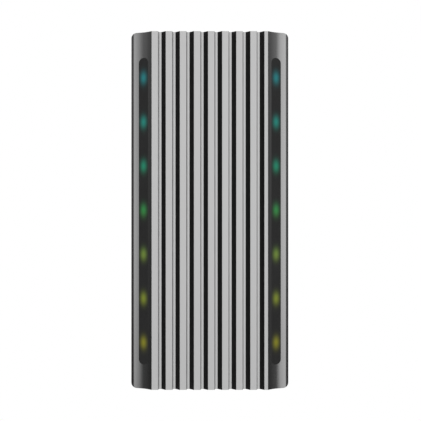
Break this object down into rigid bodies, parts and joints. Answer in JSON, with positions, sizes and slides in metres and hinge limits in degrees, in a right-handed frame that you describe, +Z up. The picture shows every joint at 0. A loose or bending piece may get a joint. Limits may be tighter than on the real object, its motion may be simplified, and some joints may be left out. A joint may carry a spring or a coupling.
{
  "type": "wall battery unit",
  "caption": "Tall wall-hung battery cabinet with a ribbed metal front, curved metal sides with smoked light strips, and a connection bay underneath.",
  "frame": {"origin": "centre of the wall bracket's back face, on the wall plane", "axes": "+Z up along the unit's height, +Y into the wall, +X to the right of someone facing the ribbed front"},
  "size_m": [0.512, 0.19, 1.15],
  "materials": {
    "slat_metal": "satin anodised, brushed lengthwise",
    "flank_metal": "satin anodised",
    "carrier_black": "satin black",
    "lens_smoke": "smoked, semi-matt",
    "coated_steel": "fine texture powder coat",
    "zinc_steel": "zinc plated",
    "rubber": "matt",
    "white_plastic": "matt",
    "circuit_board": "solder mask",
    "module_metal": "mill finish",
    "cell_wrap": "film",
    "dark_plastic": "fine texture",
    "red_plastic": "semi-gloss",
    "orange_plastic": "semi-matt",
    "nickel": "nickel plated"
  },
  "bodies": {
    "unit": {"button_bezel": "nickel", "cable_gland_front": "dark_plastic", "cable_gland_rear": "dark_plastic", "cell_block_1": "cell_wrap", "cell_block_2": "cell_wrap", "cell_block_3": "cell_wrap", "cell_block_4": "cell_wrap", "connection_bay": "coated_steel", "dc_socket_negative": "dark_plastic", "dc_socket_positive": "orange_plastic", "earth_stud": "nickel", "electronics_plate": "white_plastic", "front_carrier": "carrier_black", "front_seal": "rubber", "hanger_rail_lower": "zinc_steel", "hanger_rail_upper": "zinc_steel", "isolator_base": "dark_plastic", "lens_left": "lens_smoke", "lens_right": "lens_smoke", "light_board_left": "white_plastic", "light_board_right": "white_plastic", "light_channel_left": "white_plastic", "light_channel_right": "white_plastic", "main_contactor": "dark_plastic", "main_fuse": "white_plastic", "management_board": "circuit_board", "module_case_1": "module_metal", "module_case_2": "module_metal", "module_case_3": "module_metal", "module_case_4": "module_metal", "module_lid_1": "dark_plastic", "module_lid_2": "dark_plastic", "module_lid_3": "dark_plastic", "module_lid_4": "dark_plastic", "port_block": "dark_plastic", "port_door_pin": "nickel", "pressure_vent": "dark_plastic", "rear_chassis": "coated_steel", "side_shell_left": "flank_metal", "side_shell_right": "flank_metal", "slat_1": "slat_metal", "slat_2": "slat_metal", "slat_3": "slat_metal", "slat_4": "slat_metal", "slat_5": "slat_metal", "slat_6": "slat_metal", "slat_7": "slat_metal", "slat_8": "slat_metal", "slat_9": "slat_metal", "top_panel": "flank_metal", "wall_bracket": "zinc_steel", "wall_bumper_left": "rubber", "wall_bumper_right": "rubber"},
    "isolator_knob": {"isolator_knob": "red_plastic"},
    "power_button": {"power_button": "dark_plastic"},
    "port_door": {"port_door": "dark_plastic"}
  },
  "joints": [
    {"name": "isolator_turn", "type": "hinge", "parent": "unit", "child": "isolator_knob", "pos_m": [-0.112, -0.0975, -0.5218], "axis": [0, 0, 1], "range_deg": [0, 90]},
    {"name": "button_press", "type": "slide", "parent": "unit", "child": "power_button", "axis": [0, 0, 1], "range_m": [0, 0.0025], "stiffness_N_per_m": 300, "springref_m": -0.002},
    {"name": "port_door_swing", "type": "hinge", "parent": "unit", "child": "port_door", "pos_m": [0.05, -0.076, -0.5351], "axis": [1, 0, 0], "range_deg": [0, 100]}
  ]
}
